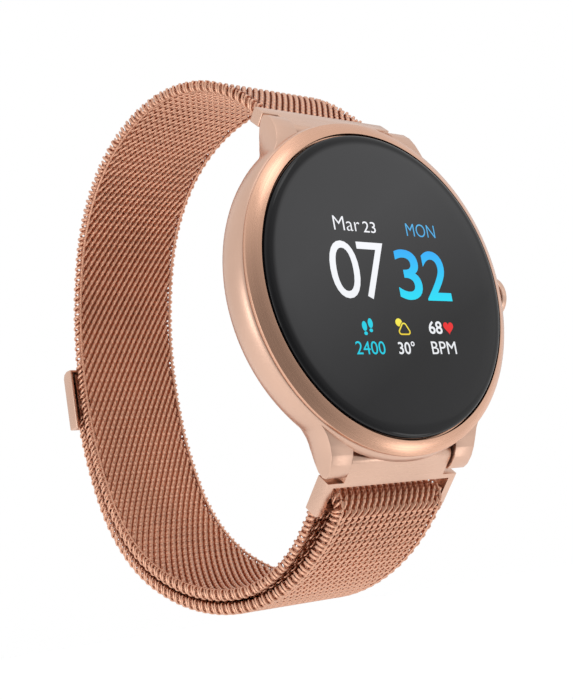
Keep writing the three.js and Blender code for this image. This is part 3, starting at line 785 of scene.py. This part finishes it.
    def dress(self) -> None:
        """Builds and places every readout."""
        for number, readout in enumerate(self.words):
            piece = finish_piece(f"readout_{number}", self.written(readout), readout.look)
            settle(piece, "case")
        icons = (("heart_icon", self.heart(), (8.8, -6.1), (1.9, 1.7), "red_icon"),
                 ("steps_icon", self.footprints(), (-5.85, -6.0), (1.9, 2.2), "cyan_text"),
                 ("weather_icon", self.weather(), (0.35, -5.95), (2.4, 2.2), "yellow_icon"))
        for name, shape, centre, size, look in icons:
            plate = self.lay_flat(as_mesh(shape, name), centre, size)
            settle(finish_piece(name, plate, look), "case")


# ---------------------------------------------------------------- woven band
@dataclass(frozen=True)
class Bend:
    """One stretch of the band's path: its length and how far it turns to the left, in degrees."""

    length: float
    turn: float = 0.0


@dataclass
class BandPath:
    """The centre line of the band in the YZ plane."""

    start: Point
    heading: float
    bends: Sequence[Bend]

    @property
    def length(self) -> float:
        """The whole length of the path."""
        return sum(bend.length for bend in self.bends)

    def at(self, along: float) -> tuple[float, float, float]:
        """Returns y, z and the heading in radians, a distance along the path."""
        y, z = self.start
        heading = math.radians(self.heading)
        for bend in self.bends:
            step = min(along, bend.length)
            turn = math.radians(bend.turn) * step / bend.length
            chord = step if turn == 0 else step * math.sin(turn / 2) / (turn / 2)
            y += chord * math.cos(heading + turn / 2)
            z += chord * math.sin(heading + turn / 2)
            heading += turn
            along -= step
            if along <= 0:
                break
        return y, z, heading

    def frame_at(self, along: float) -> Matrix:
        """Returns the matrix that stands a row on the path: X across, Y along, Z out."""
        y, z, heading = self.at(along)
        return Matrix(((1, 0, 0, 0), (0, math.cos(heading), -math.sin(heading), y),
                       (0, math.sin(heading), math.cos(heading), z), (0, 0, 0, 1)))


def arc(radius: float, turn: float) -> Bend:
    """Returns a bend of a given radius."""
    return Bend(radius * abs(math.radians(turn)), turn)


@dataclass
class WovenBand:
    """The flexible mesh: rows of flattened wire coils that run across the band and link into each other.

    A coil is stretched by crown and pressed flat at face_level, and each row of the loop is shifted along
    itself by twill. Wire loops lace the rows together along both edges, drawn in on odd rows by odd_edge, and
    the selvedge is a straight wire at each edge: how far out it lies, its level and its radius. The cuts and
    hinges are places along the loop's and the tail's paths.
    """

    half_width: float = 8.5
    coil_pitch: float = 1.05
    row_pitch: float = 0.81
    coil_radius: float = 0.62
    lean: float = 0.08
    twill: float = -0.46
    low_row: float = 0.86
    wire: float = 0.28
    crown: float = 1.12
    face_level: float = 0.84
    steps: int = 10
    core_thickness: float = 0.45
    core_overlap: float = 1.08
    edge_radius: float = 0.66
    edge_depth: float = 0.42
    edge_wire_share: float = 0.85
    edge_steps: int = 14
    odd_edge: Place = (0.7, 1.0, 0.85)
    selvedge: Place = (0.22, -0.66, 0.18)
    selvedge_overlap: float = 1.06
    loop_cuts: Point = (76.0, 132.0)
    loop_hinges: Point = (61.13, 119.526)
    fold_length: float = 3.0
    tail_cuts: Point = (18.0, 38.0)
    tail_hinges: Place = (0.4, 24.773, 46.456)
    loop: BandPath = field(default_factory=lambda: BandPath((-2.804, 25.811), 45.0, (
        Bend(4.8), arc(31, -45), arc(32, -20), arc(26.5, -45), arc(51, -25), Bend(0.538), arc(51, -20),
        arc(25.5, -40), arc(39, -30), arc(23.8, -45), Bend(4.32), arc(1.9, 180))))
    tail: BandPath = field(default_factory=lambda: BandPath((-3.171, -28.131), -45.0, (
        arc(31.542, 45), Bend(0.267), arc(40.9, 30), arc(27.4, 40), arc(52.9, 15.923))))

    def coil_row(self) -> bpy.types.Mesh:
        """Returns one row: a flattened left-handed coil across the band, with its flat cross rod."""
        turns = 2 * self.half_width / self.coil_pitch
        count = round(turns * self.steps)
        shape = bmesh.new()
        start = Matrix.Translation((-self.half_width, 0.0, self.coil_radius))
        ring = bmesh.ops.create_circle(shape, cap_ends=True, radius=self.wire, segments=5,
                                       matrix=start @ Matrix.Rotation(math.pi / 2, 4, "X"))
        geom = ring["verts"] + shape.edges[:] + shape.faces[:]
        bmesh.ops.spin(shape, geom=geom, cent=(0, 0, 0), axis=(-1, 0, 0), steps=count,
                       angle=math.tau * count / self.steps, dvec=(self.coil_pitch / self.steps, 0, 0),
                       use_merge=False, use_duplicate=False)
        for corner in shape.verts:
            corner.co.x += self.lean * math.sin(2 * math.atan2(corner.co.y, corner.co.z))
        self.press_flat(shape)
        rod = (2 * self.half_width, self.row_pitch * self.core_overlap, self.core_thickness, 1.0)
        bmesh.ops.create_cube(shape, size=1.0, matrix=Matrix.Diagonal(rod))
        bmesh.ops.recalc_face_normals(shape, faces=shape.faces[:])
        return as_mesh(shape, "coil_row")

    def press_flat(self, shape: bmesh.types.BMesh) -> None:
        """Presses the crowns of a coil flat at the level of the band's two faces."""
        for corner in shape.verts:
            corner.co.z = max(-self.face_level, min(self.face_level, corner.co.z * self.crown))

    def edge_loop(self) -> bpy.types.Mesh:
        """Returns one turn of the wire that laces the rows together along the right edge."""
        shape = bmesh.new()
        start = Matrix.Translation((-self.edge_radius, -self.row_pitch, 0.0))
        ring = bmesh.ops.create_circle(shape, cap_ends=False, radius=self.wire * self.edge_wire_share,
                                       segments=6, matrix=start)
        edges = list({edge for corner in ring["verts"] for edge in corner.link_edges})
        bmesh.ops.spin(shape, geom=ring["verts"] + edges, cent=(0, 0, 0), axis=(0, 1, 0), angle=math.tau,
                       steps=self.edge_steps, dvec=(0, 2 * self.row_pitch / self.edge_steps, 0),
                       use_merge=False, use_duplicate=False)
        bmesh.ops.scale(shape, vec=(self.edge_depth / self.edge_radius, 1.0, 1.0), verts=shape.verts[:])
        self.press_flat(shape)
        bmesh.ops.recalc_face_normals(shape, faces=shape.faces[:])
        return as_mesh(shape, "edge_loop")

    def edge_cord(self) -> bpy.types.Mesh:
        """Returns one row's length of the two straight wires that close the coil ends on the wrist side."""
        reach, level, radius = self.selvedge
        shape = bmesh.new()
        for side in (-1, 1):
            stand = Matrix.Translation((side * (self.half_width + reach), 0.0, level))
            bmesh.ops.create_cone(shape, cap_ends=True, segments=6, radius1=radius, radius2=radius,
                                  depth=self.row_pitch * self.selvedge_overlap,
                                  matrix=stand @ Matrix.Rotation(math.pi / 2, 4, "X"))
        return as_mesh(shape, "edge_cord")

    def stretch(self, name: str, runs: Sequence[tuple[BandPath, float, float]]) -> bpy.types.Object:
        """Builds a stretch of the band.

        Args:
            name: the piece's name.
            runs: the paths, each with where the stretch starts and ends on it.

        Returns:
            The finished piece.
        """
        row, side_loop, cord = self.coil_row(), self.edge_loop(), self.edge_cord()
        edge = Matrix.Translation((self.half_width + self.edge_depth, 0, 0))
        half_turn = Matrix.Rotation(math.pi, 4, "Z")
        shape = bmesh.new()
        for path, begin, end in runs:
            first, last = (math.ceil(place / self.row_pitch - 1e-6) for place in (begin, end))
            for index in range(first, last):
                stand = path.frame_at(index * self.row_pitch)
                odd = index % 2 == 1
                shift = 0.0
                if path is self.loop:
                    shift = (index * self.twill) % self.coil_pitch - self.coil_pitch / 2
                low = Matrix.Diagonal((1, 1, self.low_row if odd else 1, 1))
                right = edge @ Matrix.Diagonal((*self.odd_edge, 1)) if odd else edge
                parts = [(row, stand @ Matrix.Translation((shift, 0, 0)) @ low), (cord, stand),
                         (side_loop, stand @ right), (side_loop, stand @ half_turn @ right)]
                for source, matrix in parts:
                    copy = source.copy()
                    copy.transform(matrix)
                    shape.from_mesh(copy)
                    bpy.data.meshes.remove(copy)
        for source in (row, side_loop, cord):
            bpy.data.meshes.remove(source)
        return finish_piece(name, shape, "mesh_wire", 80.0)

    @staticmethod
    def across(path: BandPath, hinge: float, before: float, after: float) -> tuple[Place, Place]:
        """Returns the start and end of a blend on the straight line through a hinge place."""
        y, z, heading = path.at(hinge)
        start, end = ((0.0, (y + reach * math.cos(heading)) * MM, (z + reach * math.sin(heading)) * MM)
                      for reach in (-before, after))
        return start, end

    def dress(self) -> None:
        """Builds six stretches in place of the CAD strips; the one to the slot rides on band_lower and the
        other five stay fixed.
        """
        back, under = self.loop_cuts
        fold = self.loop.length - self.fold_length
        middle_cut, tip_cut = self.tail_cuts
        upper = self.stretch("mesh_over_top", [(self.loop, 0.0, back)])
        start, end = self.across(self.loop, self.loop_hinges[0], 4.0, 4.0)
        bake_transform(upper)
        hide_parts("mesh_upper", "mesh_back")
        lower = self.stretch("mesh_round_back", [(self.loop, back, under)])
        start, end = self.across(self.loop, self.loop_hinges[1], 4.0, 4.0)
        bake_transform(lower)
        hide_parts("mesh_lower")
        sole = self.stretch("mesh_to_slot", [(self.loop, under, fold)])
        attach(sole, "band_lower")
        turn = self.stretch("mesh_fold",
                            [(self.loop, fold, self.loop.length), (self.tail, 0.0, middle_cut)])
        start, end = self.across(self.tail, self.tail_hinges[0], 0.6, 3.0)
        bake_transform(turn)
        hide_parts("mesh_tail_root")
        middle = self.stretch("mesh_tail_under", [(self.tail, middle_cut, tip_cut)])
        start, end = self.across(self.tail, self.tail_hinges[1], 4.5, 4.5)
        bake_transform(middle)
        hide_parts("mesh_tail_middle")
        tip = self.stretch("mesh_tail_up", [(self.tail, tip_cut, self.tail.length)])
        start, end = self.across(self.tail, self.tail_hinges[2], 3.5, 3.5)
        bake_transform(tip)
        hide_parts("mesh_tail_end")


# ---------------------------------------------------------------- end pieces, clasp and back
@dataclass
class Metalwork:
    """Machined and pressed pieces that keep their CAD shape and gain rounded edges."""

    frame: dict
    facet_angle: float = 32.0
    pieces: tuple[tuple[str, str, str, float, str], ...] = (
        ("top_end_bar", "end_bar", "band_upper", 0.16, "rose_gold_satin"),
        ("slider_frame", "slider", "slider", 0.14, "rose_gold_satin"),
        ("clasp_shell", "clasp_plate", "tail_end", 0.22, "rose_gold_satin"),
        ("rear_cover", "back_cover", "case", 0.06, "rose_gold_turned"),
    )

    def dress(self) -> None:
        """Rounds and places each piece."""
        for node, name, body, rounding, look in self.pieces:
            shape = copy_of(self.frame, node)
            soften(shape, rounding, self.facet_angle, 3)
            settle(finish_piece(name, shape, look, self.facet_angle), body, [node])


@dataclass
class CarriedOver:
    """Finishes for the CAD nodes that show as they are."""

    frame: dict

    def dress(self) -> None:
        """Gives every CAD node the finish of its material slot."""
        slots = {part["node"]: part["material_slot"] for part in self.frame["record"]["subparts"]}
        for name, node in self.frame["nodes"].items():
            material = WARDROBE.get(slots[name])
            if not node.material_slots:
                node.data.materials.append(material)
            for holder in node.material_slots:
                holder.material = material
            LOG.info("%s: %s", name, slots[name])


# ---------------------------------------------------------------- studio
@dataclass(frozen=True)
class Softbox:
    """A square area light aimed at the watch."""

    name: str
    place: Place
    size: float
    power: float
    target: Place = (0.0, 0.01, 0.0)

    def build(self) -> None:
        """Adds the light."""
        lamp = bpy.data.lights.new(self.name, "AREA")
        lamp.energy, lamp.size = self.power, self.size
        holder = linked(self.name, lamp)
        holder.location = self.place
        aim = Vector(self.target) - Vector(self.place)
        holder.rotation_euler = aim.to_track_quat("-Z", "Y").to_euler()


@dataclass
class Studio:
    """White floor and surroundings, soft lights and the camera, in metres."""

    eye: Place = (-0.11521, -0.12368, -0.03848)
    forward: Place = (0.63595, 0.74639, 0.19615)
    up: Place = (0.00127, -0.25519, 0.96689)
    lens: float = 65.49
    floor_level: float = -0.125
    floor_front: float = -0.070
    floor_half: float = 20.0
    floor_glow: float = 0.25
    dark_side: Place = (-0.25, -0.93, -0.27)
    shade: tuple[float, float, float, float] = (0.50, 0.95, 0.88, 0.30)
    softboxes: tuple[Softbox, ...] = (
        Softbox("overhead", (-0.02, -0.12, 0.34), 0.22, 0.06),
        Softbox("right_front", (0.30, -0.30, 0.10), 0.20, 0.03),
        Softbox("left_side", (-0.34, 0.04, -0.02), 0.16, 0.12),
        Softbox("low_right", (0.22, -0.205, -0.20), 0.10, 0.05),
        Softbox("high_front", (0.03, -0.25, 0.28), 0.12, 0.07),
    )

    def camera(self) -> None:
        """Adds the camera."""
        data = bpy.data.cameras.new("camera")
        data.lens, data.sensor_width, data.sensor_fit = self.lens, 36.0, "AUTO"
        data.clip_start, data.clip_end = 0.005, 50.0
        ahead, up = Vector(self.forward).normalized(), Vector(self.up)
        right = ahead.cross(up).normalized()
        turn = Matrix((right, right.cross(ahead), -ahead)).transposed().to_4x4()
        holder = linked("camera", data)
        holder.matrix_world = Matrix.Translation(self.eye) @ turn
        bpy.context.scene.camera = holder

    def floor(self) -> None:
        """Adds the floor."""
        shape = bmesh.new()
        bmesh.ops.create_grid(shape, x_segments=4, y_segments=4, size=self.floor_half)
        middle = (0.0, self.floor_half + self.floor_front, self.floor_level)
        bmesh.ops.translate(shape, vec=middle, verts=shape.verts[:])
        sheet = ShaderSheet("floor_white").fixed(Base_Color=(0.9, 0.9, 0.9, 1.0), Roughness=0.9,
                                                 Emission_Color=WHITE, Emission_Strength=self.floor_glow)
        floor = linked("floor", as_mesh(shape, "floor"))
        floor.data.materials.append(sheet.material)

    def surroundings(self) -> None:
        """Adds a white world with a darker patch in front of the watch, low on the left."""
        world = bpy.data.worlds.new("surroundings")
        world.use_nodes = True
        nodes, links = world.node_tree.nodes, world.node_tree.links
        toward = nodes.new("ShaderNodeVectorMath")
        toward.operation = "DOT_PRODUCT"
        toward.inputs[1].default_value = self.dark_side
        links.new(nodes.new("ShaderNodeTexCoord").outputs["Generated"], toward.inputs[0])
        shade = nodes.new("ShaderNodeMapRange")
        for name, value in zip(("From Min", "From Max", "To Min", "To Max"), self.shade):
            shade.inputs[name].default_value = value
        links.new(toward.outputs["Value"], shade.inputs["Value"])
        lit = nodes["Background"]
        links.new(shade.outputs["Result"], lit.inputs["Strength"])
        seen = nodes.new("ShaderNodeBackground")
        mix = nodes.new("ShaderNodeMixShader")
        links.new(nodes.new("ShaderNodeLightPath").outputs["Is Camera Ray"], mix.inputs["Fac"])
        links.new(lit.outputs[0], mix.inputs[1])
        links.new(seen.outputs[0], mix.inputs[2])
        lit.inputs["Color"].default_value = WHITE
        seen.inputs["Color"].default_value = WHITE
        links.new(mix.outputs[0], nodes["World Output"].inputs["Surface"])
        bpy.context.scene.world = world

    def build(self) -> None:
        """Sets up the whole studio."""
        bpy.context.scene.view_settings.view_transform = "Standard"
        self.camera()
        self.floor()
        self.surroundings()
        for softbox in self.softboxes:
            softbox.build()


def main() -> None:
    """Builds the watch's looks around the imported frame."""
    logging.basicConfig(level=logging.INFO, format="%(name)s: %(message)s")
    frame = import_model()
    CarriedOver(frame).dress()
    WatchCase().dress()
    PushButton().dress()
    DialReadouts().dress()
    WovenBand().dress()
    Metalwork(frame).dress()
    Studio().build()


if __name__ == "__main__":
    main()
